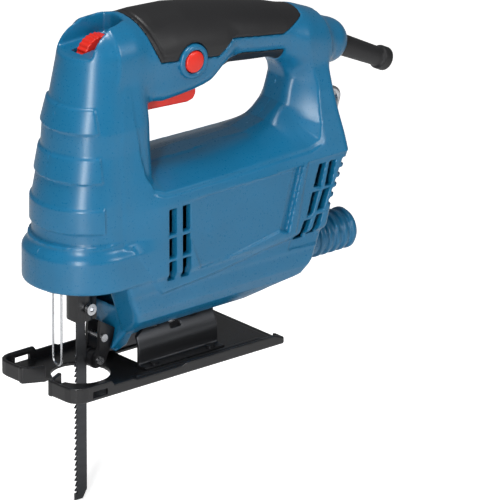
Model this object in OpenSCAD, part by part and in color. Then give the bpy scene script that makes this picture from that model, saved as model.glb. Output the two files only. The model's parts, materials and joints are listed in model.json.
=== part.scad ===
// Corded jigsaw. Millimetres. X points to the rear, -Y is the tool's left side, Z is up.
// The origin is where the blade's line crosses the underside of the sole plate.

/* [Body] */
// Half width of the motor housing
body_half = 35; // [29:0.5:42]
// Height of the shoulder above the sole
shoulder_z = 107; // [104:1:112]
// Height of the crown of the handle above the sole
crown_z = 201; // [197:1:212]
// Rearmost point of the motor housing
rear_x = 159; // [150:1:190]
// Wall thickness of the moulded shells
wall = 2.8; // [2.2:0.1:3.4]
// Thickness of the rubber grip skin
skin = 2; // [1.5:0.1:2.4]

/* [Base] */
// Overall length of the sole plate
base_len = 146; // [138:1:180]
// Overall width of the sole plate
base_w = 68; // [64:1:82]
// Sheet thickness of the sole plate
sheet = 2; // [1.5:0.1:2.4]
// Height of the flange round the front prongs
prong_h = 8.8; // [7.3:0.1:10.6]
// Height of the side flange behind the prongs
rim_h = 6.2; // [5:0.1:7]
// Radius of the round blade opening
blade_hole_r = 16; // [15:0.5:20]
// Outer radius of the bevel arch
arch_r = 15; // [12.5:0.5:18]
// Length of the bevel arch
arch_len = 55; // [45:1:66]
// Height of the bevel axis above the sole
bevel_z = 11.5; // [9.5:0.5:13]

/* [Drive] */
// Module of the gear teeth
gear_module = 0.75; // [0.62:0.01:0.8]
// Teeth on the motor pinion
pinion_teeth = 12; // [12:1:14]
// Teeth on the crank gear
gear_teeth = 60; // [54:1:64]
// Stroke of the blade
stroke = 20; // [16:1:21]
// Radius of the plunger rod
rod_r = 5; // [4:0.1:6]
// Radius of the motor shaft
shaft_r = 4; // [3.8:0.1:4.8]
// Outer radius of the ball bearings
bearing_r = 11; // [9:0.5:13]
// Radius of the rotor core
rotor_r = 14.6; // [12:0.1:17.5]
// Radial thickness of the stator
stator_t = 10.6; // [8.5:0.1:11]

/* [Blade] */
// Length of the saw blade from the top of its shank
blade_len = 117; // [97:1:140]
// Width of the saw blade
blade_w = 8.3; // [6.9:0.1:10]
// Thickness of the saw blade
blade_t = 1.2; // [1:0.1:1.5]
// Distance between teeth
tooth_pitch = 3; // [2.5:0.5:4]

/* [Controls] */
// Length of the trigger
trigger_len = 38; // [32:1:42]
// Travel of the trigger
trigger_travel = 5; // [4:0.5:5]
// Radius of the lock-on button
lock_r = 6.2; // [5.2:0.1:7.4]
// Radius of the speed dial
dial_r = 12; // [10:0.5:13]
// Bore radius of the dust port
port_bore_r = 8.5; // [7.1:0.1:8.8]
// Outer radius of the power cable
cable_r = 3.6; // [3:0.1:4.2]

/* [Hidden] */

round_fn = 64;
hull_fn = 20;
fit_gap = 0.1;
loose_gap = 0.4;
shaft_gap = 0.04;
seam = 0.02;
far = 400;
tiny = 0.01;

blue = "#226fab";
black = "#1c1c1f";
rubber = "#2b2b2e";
red = "#e0301f";
steel = "#8d9196";
dark_steel = "#4a4c50";
brass = "#b08d3c";
copper = "#b2673a";
silver = "#c4c6ca";

// drive train, along the motor axis
motor_z = 64;
centre_gap = gear_module * (pinion_teeth + gear_teeth) / 2;
crank_z = motor_z + centre_gap;
yoke_x = [rod_r - 2, rod_r + 7.5];
roller_x = [yoke_x[1] + 0.5, yoke_x[1] + 4.5];
gear_x = [roller_x[1] + 2, roller_x[1] + 8.5];
case_x = [gear_x[1] + 1.5, gear_x[1] + 6.3];
case_half = 21;
seat_depth = 7.2;
bearing_w = 7;
fan_x = [case_x[1] + seat_depth + 4, case_x[1] + seat_depth + 12];
core_x = [fan_x[1] + 13, fan_x[1] + 49];
winding = 7;
commutator_x = [core_x[1] + winding + 3, core_x[1] + winding + 15];
rear_bearing_x = commutator_x[1] + 5;
air_gap = 0.9;
stator_in = rotor_r + air_gap;
stator_out = stator_in + stator_t;
commutator_r = 10;
shaft_end_x = rear_bearing_x + bearing_w + 2;
brush_x = (commutator_x[0] + commutator_x[1]) / 2 + 0.5;
brush_end = stator_out - 4;

// plunger
yoke_h = 16;
yoke_half = stroke / 2 + 7;
crank_pin_r = 2.5;
crank_roller_r = 4;
bush_t = 2.5;
bush_r = rod_r + bush_t;
ring_r = bush_r + 3.5;
clamp_h = 16;
clamp_half = rod_r + 2.5;
lower_bush_z = [61, crank_z - yoke_h / 2 - stroke / 2 - 1];
clamp_top = lower_bush_z[0] - stroke / 2 - 1;
upper_bush_z = [130, 142];
case_top = upper_bush_z[0] - 27.5;
rod_top = upper_bush_z[1] + stroke / 2 + 1;
screw_head_r = 3.2;

// blade
blade_back = 3.9;
shank_w = 6;
shank_len = 24;
blade_top = clamp_top - 4;
blade_tip = blade_top - blade_len;
tooth_depth = 1.6;

// guide roller
guide_r = 4.6;
guide_x = blade_back + guide_r + 0.1;
guide_z = 8.5;
guide_half = 3.6;
cheek = [4, 6];
pin_r = 1.6;
arm_hole = [guide_x + 2.6, 21];

// collar and guard wire
collar_z = [56, 86];
wire_x = -16;
wire_spread = 3.5;
wire_top = collar_z[0] + 7;
wire_r = 0.9;
socket_bottom = 40;

// base
base_front = -31.5;
plate_rear = base_front + base_len - 2.4;
mouth = 11;
throat = 5.5;
throat_x = -20;
corner_r = 9;
tall_end = -5;
fence_x = [-19, -9];
fence_top = 5.4;
fence_depth = 7;
arch_x = [28.5, 28.5 + arch_len];
arch_t = 2;
window_margin = 5;
window_half = 12;
foot_w = 6;
foot_t = 1.5;
bolt_x = (arch_x[0] + arch_x[1]) / 2;
bolt_r = 3;
bevel_max = 45;
slot_margin = 16;

// controls
trigger_x = [37, 37 + trigger_len];
trigger_z = [141, 156];
trigger_half = 8.2;
switch_z = trigger_z[1] + trigger_travel + 2;
lock_pos = [61, 172];
lock_y = body_half * 0.6 + 2;
lock_travel = 3;
lock_inner = 12.5;
lock_cup = 18;
lock_stop = 8;
lock_spring_h = 2;
dial_pos = [12, crown_z - 20];
dial_half = 4;
port_z = 40.5;
port_r = port_bore_r + 1.7;
port_ring_r = port_r + 1.3;
port_x = [rear_x - 21, rear_x + 27.5];
boot_pos = [rear_x + 18, 149.6];
boot_angle = 27;
boot_len = 42;
clip_x = boot_pos[0] - 25;
clip_z = crown_z - 41;
key_pos = [rear_x + 23, 121];
key_angle = 18;
key_long = 34;
key_short = 17;
key_r = 1.7;

screw_r = 1.9;
screw_spots = [
  [31, crown_z - 14], [rear_x - 55, 173], [rear_x - 4, 148], [58, shoulder_z - 11],
  [rear_x - 33, shoulder_z - 11], [rear_x - 45, 33], [34, 39]
];
boss_r = 4.2;
screw_head_y = 11;

// ---------------------------------------------------------------- helpers

// a pair of balls either side of the centre plane, shrunk by an inset
module balls(x, y, z, r, inset) {
  for (side = [-1, 1]) translate([x, side * y, z]) sphere(r = r - inset, $fn = hull_fn);
}

// a cylinder along X between two stations
module along_x(x0, x1, r, fn = round_fn) {
  translate([x0, 0, 0]) rotate([0, 90, 0]) cylinder(r = r, h = x1 - x0, $fn = fn);
}

// a cylinder along Y at a point of the side view
module along_y(x, z, y0, y1, r, fn = round_fn) {
  translate([x, y1, z]) rotate([90, 0, 0]) cylinder(r = r, h = y1 - y0, $fn = fn);
}

// a block given by its lowest and highest corner
module block(low, high) {
  translate(low) cube([high[0] - low[0], high[1] - low[1], high[2] - low[2]]);
}

// a side-view outline drawn through from one side to the other
module side_cut(points, y0, y1) {
  translate([0, y1, 0]) rotate([90, 0, 0]) linear_extrude(y1 - y0) polygon(points);
}

function involute(angle) = tan(angle) * 180 / PI - angle;
function flank(r, base) = r <= base ? 0 : involute(acos(base / r));
function polar(r, angle) = [r * cos(angle), r * sin(angle)];

// a spur gear outline with a tooth centred on the first axis
module gear_outline(teeth, phase = 0) {
  pitch_r = teeth * gear_module / 2;
  base_r = pitch_r * cos(20);
  tip_r = pitch_r + 0.8 * gear_module;
  root_r = pitch_r - 1.15 * gear_module;
  play = 0.06 / pitch_r * 180 / PI;
  half = 90 / teeth - play + flank(pitch_r, base_r);
  rise = [for (k = [0 : 4]) max(root_r, base_r) + (tip_r - max(root_r, base_r)) * k / 4];
  polygon([
    for (t = [0 : teeth - 1]) let (a = phase + 360 * t / teeth) each concat(
      [polar(root_r, a - half)],
      [for (r = rise) polar(r, a - half + flank(r, base_r))],
      [for (k = [4 : -1 : 0]) polar(rise[k], a + half - flank(rise[k], base_r))],
      [polar(root_r, a + half)]
    )
  ]);
}

// a gear along X, its outline's first axis pointing to +Y
module toothed(teeth, x0, x1, phase) {
  multmatrix([[0, 0, 1, x0], [1, 0, 0, 0], [0, 1, 0, 0], [0, 0, 0, 1]])
    linear_extrude(x1 - x0) gear_outline(teeth, phase);
}

// a coil spring along Z, as one swept solid
module coil(radius, wire, turns, height) {
  steps = 14 * turns;
  sides = 6;
  function ring(k) = [
    for (s = [0 : sides - 1])
      let (a = 360 * turns * k / steps, b = 360 * s / sides)
      [
        (radius + wire * cos(b)) * cos(a),
        (radius + wire * cos(b)) * sin(a),
        wire + (height - 2 * wire) * k / steps + wire * sin(b)
      ]
  ];
  polyhedron(
    points = [for (k = [0 : steps]) each ring(k)],
    faces = concat(
      [[for (s = [0 : sides - 1]) s]],
      [for (k = [0 : steps - 1]) for (s = [0 : sides - 1])
        [k * sides + s, (k + 1) * sides + s, (k + 1) * sides + (s + 1) % sides, k * sides + (s + 1) % sides]],
      [[for (s = [sides - 1 : -1 : 0]) steps * sides + s]]
    )
  );
}

// ---------------------------------------------------------------- housing

// the outer shape of the whole moulded housing, shrunk by an inset
module body_shape(inset) {
  i = inset;
  // collar round the plunger
  hull() {
    translate([2.4, 0, collar_z[0] + i])
      cylinder(r = body_half - 1 - i, h = collar_z[1] - collar_z[0] - 2 * i, $fn = 48);
    block([45, i - body_half + 1, collar_z[0] + i], [50 - i, body_half - 1 - i, collar_z[1] - i]);
  }
  // nose
  hull() {
    translate([4, 0, collar_z[0] + i]) cylinder(r = body_half - 4 - i, h = 108 - collar_z[0] - i, $fn = 40);
    balls(9, 4, crown_z - 35, 22, i);
    balls(17, 6, crown_z - 20, 20, i);
    balls(27, 16, 150, 9, i);
    balls(24, 17, 112, 9, i);
  }
  // crown over the front column
  hull() {
    balls(17, 6, crown_z - 20, 20, i);
    balls(53, 2, crown_z - 19, 19, i);
    balls(26, 9, crown_z - 39, 12, i);
  }
  // trigger block
  hull() {
    balls(34, 6, 165, 13, i);
    balls(76, 4, 169, 15, i);
    balls(45, 5, 178, 16, i);
  }
  // grip
  hull() {
    balls(53, 2, crown_z - 19, 19, i);
    balls(rear_x - 49, 2, crown_z - 28, 17, i);
    balls(rear_x - 9, 1, crown_z - 39, 15, i);
  }
  // rear end of the grip
  hull() {
    balls(rear_x - 12, 4, crown_z - 42, 14, i);
    balls(rear_x + 12, 1, crown_z - 49, 12.5, i);
  }
  // rear column
  hull() {
    balls(rear_x + 2, 6, 148, 14, i);
    balls(rear_x - 8, 7, 140, 12, i);
    balls(rear_x - 10, body_half - 10, shoulder_z - 9, 10, i);
    balls(rear_x - 20, body_half - 12, shoulder_z - 12, 10, i);
  }
  // motor body
  hull() {
    balls(30, body_half - 10, shoulder_z - 10, 10, i);
    balls(rear_x - 10, body_half - 10, shoulder_z - 10, 10, i);
    balls(30, body_half - 10, 66, 10, i);
    balls(rear_x - 19, body_half - 11, 62, 10, i);
    balls(30, 10, 44, 10, i);
    balls(rear_x - 20, 10, 44, 10, i);
  }
  // saddle under the hand
  hull() {
    balls(34, 8, shoulder_z - 4, 12, i);
    balls(rear_x - 19, 8, shoulder_z - 4, 12, i);
  }
  // belly over the bevel arch
  hull() {
    balls(26, 10, 32, 10, i);
    balls(arch_x[1] + 18, 10, 32, 10, i);
    balls(26, 18, 54, 10, i);
    balls(arch_x[1] + 36, 18, 54, 10, i);
  }
  // leg behind the blade
  hull() {
    balls(25.5, 4, 20, 6, i);
    balls(26, 8, 42, 10, i);
  }
  // neck round the dust port
  hull() {
    translate([0, 0, port_z + 1]) along_x(rear_x - 45 + i, rear_x - 8 - i, port_r + 3.4 - i, 32);
    balls(rear_x - 24, 16, 60, 8, i);
  }
}

// side view of the area that the rubber skin covers
function cover_outline(g = 0) = [
  [22 - g, crown_z + 14], [31 - g, crown_z - 5], [36 - g, crown_z - 19 - g], [39, crown_z - 25 - g],
  [52, crown_z - 27 - g], [70, crown_z - 30 - g], [80, crown_z - 31 - g], [90, crown_z - 24 - g],
  [rear_x - 31, crown_z - 30 - g], [rear_x - 17 + g, crown_z - 24], [rear_x - 8 + g, crown_z - 11],
  [rear_x - 8 + g, crown_z + 14]
];
function pad_outline(g = 0) = [
  [88 - g, 161], [100, 166 + g], [rear_x - 28 + g, 160 + g], [rear_x - 26 + g, 150], [88 - g, 150]
];

module skin_zones(g) {
  difference() {
    union() {
      side_cut(cover_outline(g), -far / 4, far / 4);
      side_cut(pad_outline(g), -far / 4, far / 4);
    }
    along_y(lock_pos[0], lock_pos[1], -far / 4, 0, lock_r + 3.6 - g, hull_fn * 2);
  }
}

module skin_layer() {
  difference() {
    body_shape(0);
    body_shape(skin);
  }
}

module grip_cover() {
  color(rubber) intersection() {
    skin_layer();
    difference() {
      side_cut(cover_outline(), -far / 4, far / 4);
      along_y(lock_pos[0], lock_pos[1], -far / 4, 0, lock_r + 3.6, hull_fn * 2);
    }
  }
}

module grip_pad() {
  color(rubber) intersection() {
    skin_layer();
    side_cut(pad_outline(), -far / 4, far / 4);
  }
}

// ribs, bosses and seats that stand inside the walls
module inner_ribs() {
  for (x = [core_x[0] + 3, core_x[1] - 7])
    block([x, -body_half, 30], [x + 4, body_half, shoulder_z]);
  block([rear_bearing_x - 1.5, -body_half, 30], [rear_bearing_x + bearing_w + 1.5, body_half, shoulder_z]);
  for (spot = screw_spots) along_y(spot[0], spot[1], -body_half, body_half, boss_r, 24);
  along_y(lock_pos[0], lock_pos[1], -body_half, -lock_stop - fit_gap, lock_r + 2.6, 36);
  translate([0, 0, bevel_z]) along_x(arch_x[0] - 5, arch_x[1] + 5, arch_r + 3, 48);
  block([bolt_x - 9, -9, bevel_z + arch_r], [bolt_x + 9, 9, bevel_z + arch_r + 11]);
  block([wire_x - 5, -7, collar_z[0]], [wire_x + 3, 7, wire_top + 2]);
}

// everything that is cut out of both shells
module housing_cuts() {
  // motor, bearing and drive space through the ribs
  translate([0, 0, motor_z]) along_x(core_x[0] - 2, core_x[1] + 2, stator_out + fit_gap, 48);
  translate([0, 0, motor_z]) along_x(rear_bearing_x - 2, rear_bearing_x + bearing_w, bearing_r + fit_gap, 48);
  translate([0, 0, motor_z]) along_x(rear_bearing_x, shaft_end_x + 1, shaft_r + 1, 32);
  // bay for the blade clamp
  block([-11, -12, 45], [19.5, 12, collar_z[0] + 12]);
  block([-20, -7.4, 0], [19.5, 7.4, 50]);
  block([-20, -12, 0], [19.5, 7.4, 34]);
  // trigger slot
  block([trigger_x[0] - loose_gap, -trigger_half - loose_gap, 145],
        [trigger_x[1] + loose_gap, trigger_half + loose_gap, switch_z]);
  // lock-on button
  along_y(lock_pos[0], lock_pos[1], -body_half, -0.7, lock_r + loose_gap / 2, 42);
  // speed dial
  block([dial_pos[0] - dial_r - 1, -dial_half - 0.8, dial_pos[1] - dial_r - 1],
        [dial_pos[0] + dial_r + 1, dial_half + 0.8, dial_pos[1] + dial_r + 9]);
  // cable boot, dust port and key
  boot_place() translate([0, 0, -2]) cylinder(r = cable_r + 2.4 + fit_gap, h = 40, $fn = 30);
  translate([0, 0, port_z]) along_x(port_x[0] - 1, rear_x + 10, port_r + fit_gap, 48);
  key_place() translate([-key_long - 1, 0, 0]) along_x(0, key_long + 20, key_r + loose_gap, 20);
  // recess over the bevel arch, and its bolt and nut
  translate([0, 0, bevel_z]) along_x(arch_x[0] - 2, arch_x[1] + 2, arch_r + loose_gap, 64);
  translate([bolt_x, 0, 0]) cylinder(r = bolt_r + 0.2, h = 48, $fn = 24);
  block([bolt_x - 5.2, -5.2, bevel_z + arch_r + 3], [bolt_x + 5.2, 5.2, bevel_z + arch_r + 8.4]);
  // guard wire sockets
  for (side = [-1, 1]) translate([wire_x, side * wire_spread, socket_bottom])
    cylinder(r = wire_r, h = wire_top + 1 - socket_bottom, $fn = 16);
  // cooling slots in both sides
  for (side = [-1, 1]) {
    for (x = [33.5, 43.5]) for (z = [56, 70, 84])
      block([x, side * body_half - 6, z], [x + 5, side * body_half + 6, z + 11.5]);
    for (k = [0, 1, 2]) for (x = [-28, -19])
      translate([rear_x + x + 6 * k, side * body_half, 58 + 14 * k]) rotate([0, 22, 0])
        translate([0, -6, 0]) cube([5, 12, 12]);
  }
  // screw holes
  for (spot = screw_spots) {
    along_y(spot[0], spot[1], -9, far / 4, screw_r + fit_gap, 24);
    along_y(spot[0], spot[1], screw_head_y, far / 4, screw_r + 2, 24);
  }
}

module shell() {
  difference() {
    union() {
      difference() {
        body_shape(0);
        skin_zones(fit_gap);
      }
      body_shape(skin + fit_gap);
      along_y(lock_pos[0], lock_pos[1], -lock_y, -11.3, lock_r + 3.2, 38);
    }
    difference() {
      union() {
        difference() {
          body_shape(wall);
          skin_zones(wall);
        }
        body_shape(skin + wall);
      }
      inner_ribs();
    }
    housing_cuts();
  }
}

module housing_left() {
  color(blue) intersection() {
    shell();
    block([-far, -far, -far], [far, -seam, far]);
  }
}

module housing_right() {
  color(blue) intersection() {
    shell();
    block([-far, 0, -far], [far, far, far]);
  }
}

module housing_screws() {
  color(dark_steel) for (spot = screw_spots) {
    along_y(spot[0], spot[1], -8, screw_head_y, screw_r);
    difference() {
      along_y(spot[0], spot[1], screw_head_y, screw_head_y + 2.4, screw_r + 1.8);
      along_y(spot[0], spot[1], screw_head_y + 1, screw_head_y + 3, 1.6, 6);
    }
  }
}

// ---------------------------------------------------------------- base

module plate_outline(inset) {
  front = base_front + inset;
  half = base_w / 2;
  translate([base_front + corner_r, inset - half]) square([plate_rear - base_front - corner_r, base_w - 2 * inset]);
  translate([front, corner_r - half]) square([corner_r + 1, base_w - 2 * corner_r]);
  for (side = [-1, 1]) translate([base_front + corner_r, side * (half - corner_r)])
    circle(r = corner_r - inset, $fn = round_fn);
}

module mouth_outline() {
  circle(r = blade_hole_r, $fn = round_fn);
  polygon([
    [base_front - 1, mouth + 0.5], [throat_x, throat], [-8, throat],
    [-8, -throat], [throat_x, -throat], [base_front - 1, -mouth - 0.5]
  ]);
}

module base_plate() {
  color(black) difference() {
    union() {
      linear_extrude(sheet) plate_outline(0);
      linear_extrude(prong_h) difference() {
        intersection() {
          plate_outline(0);
          translate([base_front - 1, -base_w]) square([tall_end - base_front + 1, 2 * base_w]);
        }
        plate_outline(sheet);
      }
      for (side = [-1, 1]) {
        rim_y = side * (base_w / 2 - sheet / 2);
        translate([tall_end - 1, rim_y - sheet / 2, 0]) cube([plate_rear - tall_end + 3.4, sheet, rim_h]);
        linear_extrude(prong_h) polygon([
          [base_front, side * mouth], [throat_x, side * throat],
          [throat_x, side * (throat + sheet * 1.1)], [base_front, side * (mouth + sheet * 1.1)]
        ]);
      }
    }
    translate([0, 0, -1]) linear_extrude(prong_h + 2) mouth_outline();
    block([arch_x[0] + window_margin, -window_half, -1], [arch_x[1] - window_margin, window_half, sheet + 1]);
    for (side = [-1, 1]) translate([fence_x[0], side * base_w / 2 - fence_depth, -1])
      cube([fence_x[1] - fence_x[0], 2 * fence_depth, fence_top + 1]);
  }
}

module arch_bore(r, x0, x1) {
  translate([0, 0, bevel_z]) along_x(x0, x1, r);
  block([x0, -r, -1], [x1, r, bevel_z]);
}

module bevel_arch() {
  color(dark_steel) difference() {
    union() {
      intersection() {
        arch_bore(arch_r, arch_x[0], arch_x[1]);
        block([arch_x[0], -far, sheet], [arch_x[1], far, far]);
      }
      block([arch_x[0], -arch_r - foot_w, sheet], [arch_x[1], arch_r + foot_w, sheet + foot_t]);
    }
    arch_bore(arch_r - arch_t, arch_x[0] - 1, arch_x[1] + 1);
    // the slot that the bolt follows as the housing tilts
    translate([bolt_x - bolt_r - loose_gap, 0, bevel_z]) rotate([90, 0, 90])
      linear_extrude(2 * (bolt_r + loose_gap)) polygon([
        [0, 0], [far * sin(bevel_max + slot_margin) / 4, far * cos(bevel_max + slot_margin) / 4],
        [0, far / 4], [-far * sin(bevel_max + slot_margin) / 4, far * cos(bevel_max + slot_margin) / 4]
      ]);
    // detent notches
    for (side = [-1, 1]) for (share = [0.25, 0.75])
      translate([arch_x[0] + arch_len * share - 3, 0, bevel_z]) rotate([side * 42, 0, 0])
        block([0, -1.5, arch_r - 3], [6, 1.5, arch_r + 2]);
    rivet_places() cylinder(r = 1.5, h = 10, center = true, $fn = 32);
  }
}

module rivet_places() {
  for (side = [-1, 1]) for (x = [arch_x[0] + 8, arch_x[1] - 8])
    translate([x, side * (arch_r + foot_w / 2 + 0.4), sheet + foot_t]) children();
}

module arch_rivets() {
  color(steel) rivet_places() {
    translate([0, 0, -foot_t]) cylinder(r = 1.5, h = foot_t + 0.2, $fn = 32);
    cylinder(r = 2.4, h = 1.2, $fn = 32);
  }
}

module clamp_bolt() {
  head_z = bevel_z + arch_r - arch_t - 2 - 4.4;
  color(steel) translate([bolt_x, 0, 0]) difference() {
    union() {
      translate([0, 0, head_z]) cylinder(r = bolt_r, h = bevel_z + arch_r + 12 - head_z, $fn = round_fn);
      translate([0, 0, head_z - 4]) cylinder(r = 5, h = 5.8, $fn = round_fn);
    }
    translate([0, 0, head_z - 5]) cylinder(r = 2.6, h = 4, $fn = 6);
  }
}

module clamp_nut() {
  color(steel) difference() {
    block([bolt_x - 5, -5, bevel_z + arch_r + 3.1], [bolt_x + 5, 5, bevel_z + arch_r + 8.1]);
    translate([bolt_x, 0, 0]) cylinder(r = bolt_r, h = 100, $fn = round_fn);
  }
}

module clamp_shoe() {
  out_r = arch_r - arch_t - fit_gap;
  color(steel) difference() {
    intersection() {
      translate([0, 0, bevel_z]) along_x(bolt_x - 9, bolt_x + 9, out_r);
      block([bolt_x - 10, -9, bevel_z], [bolt_x + 10, 9, far]);
    }
    block([bolt_x - 10, -10, bevel_z - 1], [bolt_x + 10, 10, bevel_z + arch_r - arch_t - 4.6]);
    translate([bolt_x, 0, 0]) cylinder(r = bolt_r + 0.2, h = 100, $fn = 32);
    translate([bolt_x, 0, 0]) cylinder(r = 5.2, h = bevel_z + arch_r - arch_t - 4.6 + tiny, $fn = 32);
  }
}

// ---------------------------------------------------------------- drive

module gear_case() {
  color(silver) difference() {
    union() {
      block([case_x[0], -case_half, lower_bush_z[0] - 8], [case_x[1], case_half, case_top]);
      block([case_x[0], -12, case_top - 1], [case_x[0] + 3, 12, upper_bush_z[1]]);
      translate([0, 0, motor_z]) along_x(case_x[1] - 1, case_x[1] + seat_depth, bearing_r + 3);
      block([rod_r + bush_t, -8, upper_bush_z[0]], [case_x[0] + 1, 8, upper_bush_z[1]]);
      translate([0, 0, upper_bush_z[0]]) cylinder(r = ring_r, h = upper_bush_z[1] - upper_bush_z[0], $fn = round_fn);
      translate([0, 0, lower_bush_z[0]]) cylinder(r = ring_r, h = lower_bush_z[1] - lower_bush_z[0], $fn = round_fn);
      for (side = [-1, 1]) translate([4, side * 11 - 3, lower_bush_z[0]])
        cube([case_x[0] - 3, 6, 6]);
    }
    for (z = [lower_bush_z, upper_bush_z]) translate([0, 0, z[0] - 1]) cylinder(r = bush_r, h = z[1] - z[0] + 2, $fn = round_fn);
    translate([0, 0, motor_z]) along_x(case_x[1] + seat_depth - bearing_w, case_x[1] + seat_depth + 1, bearing_r);
    translate([0, 0, motor_z]) along_x(case_x[0] - 1, case_x[1] + 1, bearing_r - 3);
    translate([0, 0, crank_z]) along_x(case_x[0] - 1, case_x[1] + 1, shaft_r);
  }
}

module bush(z) {
  color(brass) translate([0, 0, z[0]]) difference() {
    cylinder(r = bush_r, h = z[1] - z[0], $fn = round_fn);
    translate([0, 0, -1]) cylinder(r = rod_r + shaft_gap, h = z[1] - z[0] + 2, $fn = round_fn);
  }
}

module upper_bush() { bush(upper_bush_z); }
module lower_bush() { bush(lower_bush_z); }

module gear_axle() {
  color(steel) translate([0, 0, crank_z]) along_x(gear_x[0] + 0.5, case_x[1], shaft_r);
}

// a ball bearing along X: two races with a ring of balls between them
module bearing(x0) {
  race = (bearing_r - shaft_r) * 0.26;
  middle = (bearing_r + shaft_r) / 2;
  translate([x0, 0, motor_z]) {
    rotate([0, 90, 0]) difference() {
      cylinder(r = bearing_r, h = bearing_w, $fn = round_fn);
      translate([0, 0, -1]) cylinder(r = bearing_r - race, h = bearing_w + 2, $fn = round_fn);
    }
    rotate([0, 90, 0]) difference() {
      cylinder(r = shaft_r + shaft_gap + race, h = bearing_w, $fn = round_fn);
      translate([0, 0, -1]) cylinder(r = shaft_r + shaft_gap, h = bearing_w + 2, $fn = round_fn);
    }
    for (k = [0 : 6]) rotate([360 * k / 7, 0, 0]) translate([bearing_w / 2, middle, 0])
      sphere(r = (bearing_r - shaft_r) / 2 - race - shaft_gap / 2, $fn = 24);
  }
}

module front_bearing() { color(steel) bearing(case_x[1] + seat_depth - bearing_w); }
module rear_bearing() { color(steel) bearing(rear_bearing_x); }

module ring_x(x0, x1, outer, inner) {
  difference() {
    along_x(x0, x1, outer);
    along_x(x0 - 1, x1 + 1, inner);
  }
}

module stator_core() {
  color(dark_steel) translate([0, 0, motor_z]) intersection() {
    ring_x(core_x[0], core_x[1], stator_out, stator_in);
    block([core_x[0], -stator_out, -stator_out * 0.94], [core_x[1], stator_out, stator_out * 0.94]);
  }
}

module field_coils() {
  color(copper) translate([0, 0, motor_z]) {
    ring_x(core_x[0] - winding + 1, core_x[0], stator_in + 6.5, stator_in + 0.5);
    ring_x(core_x[1], core_x[1] + winding - 1, stator_in + 6.5, stator_in + 0.5);
  }
}

module motor_shaft() {
  color(steel) translate([0, 0, motor_z]) {
    along_x(gear_x[1] + 0.8, shaft_end_x, shaft_r);
    toothed(pinion_teeth, gear_x[0] - 0.8, gear_x[1] + 1, 90 + 180 / pinion_teeth);
  }
}

module rotor_core() {
  color(dark_steel) translate([0, 0, motor_z]) difference() {
    along_x(core_x[0], core_x[1], rotor_r);
    along_x(core_x[0] - 1, core_x[1] + 1, shaft_r);
    for (k = [0 : 11]) rotate([30 * k, 0, 0])
      block([core_x[0] - 1, -0.9, rotor_r - 1.5], [core_x[1] + 1, 0.9, rotor_r + 1]);
  }
}

module rotor_windings() {
  color(copper) translate([0, 0, motor_z]) {
    ring_x(core_x[0] - winding, core_x[0], rotor_r - 2, shaft_r);
    ring_x(core_x[1], core_x[1] + winding, rotor_r - 2, shaft_r);
  }
}

module commutator() {
  color(copper) translate([0, 0, motor_z]) difference() {
    along_x(commutator_x[0], commutator_x[1], commutator_r);
    along_x(commutator_x[0] - 1, commutator_x[1] + 1, shaft_r);
    for (k = [0 : 23]) rotate([15 * k, 0, 0])
      block([commutator_x[0] + 2, -0.2, commutator_r - 1], [commutator_x[1] + 1, 0.2, commutator_r + 1]);
  }
}

module cooling_fan() {
  fan_r = stator_out - 1;
  color(black) translate([0, 0, motor_z]) {
    ring_x(fan_x[1] - 1.6, fan_x[1], fan_r, shaft_r);
    ring_x(fan_x[0], fan_x[1] - 1, shaft_r + 4, shaft_r);
    for (k = [0 : 10]) rotate([360 * k / 11, 0, 0])
      block([fan_x[0], -0.8, shaft_r + 3], [fan_x[1] - 1, 0.8, fan_r - 1]);
  }
}

module brush_holders() {
  color(brass) for (side = [-1, 1]) translate([brush_x, 0, motor_z]) scale([1, side, 1]) difference() {
    block([-4.2, commutator_r + 1.5, -5.2], [4.2, brush_end + 6, 5.2]);
    block([-3.1, commutator_r, -4.1], [3.1, brush_end + 5, 4.1]);
  }
}

module carbon_brushes() {
  color(black) for (side = [-1, 1]) translate([brush_x, 0, motor_z]) scale([1, side, 1]) intersection() {
    difference() {
      block([-3, 0, -4], [3, brush_end, 4]);
      translate([-10, 0, 0]) along_x(0, 20, commutator_r + shaft_gap);
    }
    block([-3, 5, -4], [3, brush_end, 4]);
  }
}

module brush_springs() {
  color(steel) for (side = [-1, 1]) translate([brush_x, side * (brush_end + 0.1), motor_z])
    rotate([-90 * side, 0, 0]) coil(2, 0.4, 3, 4.7);
}

module crank_gear() {
  color(dark_steel) difference() {
    union() {
      translate([0, 0, crank_z]) toothed(gear_teeth, gear_x[0] + 1, gear_x[1], 90);
      translate([0, 0, crank_z]) along_x(gear_x[0], gear_x[0] + 2, shaft_r + 3);
    }
    translate([0, 0, crank_z]) along_x(gear_x[0] - 1, gear_x[1] + 1, shaft_r + shaft_gap);
    translate([0, stroke / 2, crank_z]) along_x(gear_x[0] - 1, gear_x[1] + 1, crank_pin_r);
    for (k = [0 : 4]) translate([0, 0, crank_z]) rotate([60 * k + 60, 0, 0])
      translate([0, stroke / 2 + 4, 0]) along_x(gear_x[0] - 1, gear_x[1] + 1, 2.5);
  }
}

module crank_pin() {
  color(steel) translate([0, stroke / 2, crank_z]) along_x(roller_x[0], gear_x[1], crank_pin_r);
}

module crank_roller() {
  color(steel) translate([0, stroke / 2, crank_z])
    ring_x(roller_x[0], roller_x[1], crank_roller_r, crank_pin_r + shaft_gap);
}

module plunger_rod() {
  color(steel) translate([0, 0, clamp_top]) cylinder(r = rod_r, h = rod_top - clamp_top, $fn = round_fn);
}

module scotch_yoke() {
  color(dark_steel) difference() {
    block([yoke_x[0], -yoke_half, crank_z - yoke_h / 2], [yoke_x[1], yoke_half, crank_z + yoke_h / 2]);
    translate([0, 0, crank_z - yoke_h]) cylinder(r = rod_r, h = 2 * yoke_h, $fn = round_fn);
    block([yoke_x[1] - 4.5, -stroke / 2 - 4.2, crank_z - crank_roller_r - fit_gap],
          [yoke_x[1] + 1, stroke / 2 + 4.2, crank_z + crank_roller_r + fit_gap]);
  }
}

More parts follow.
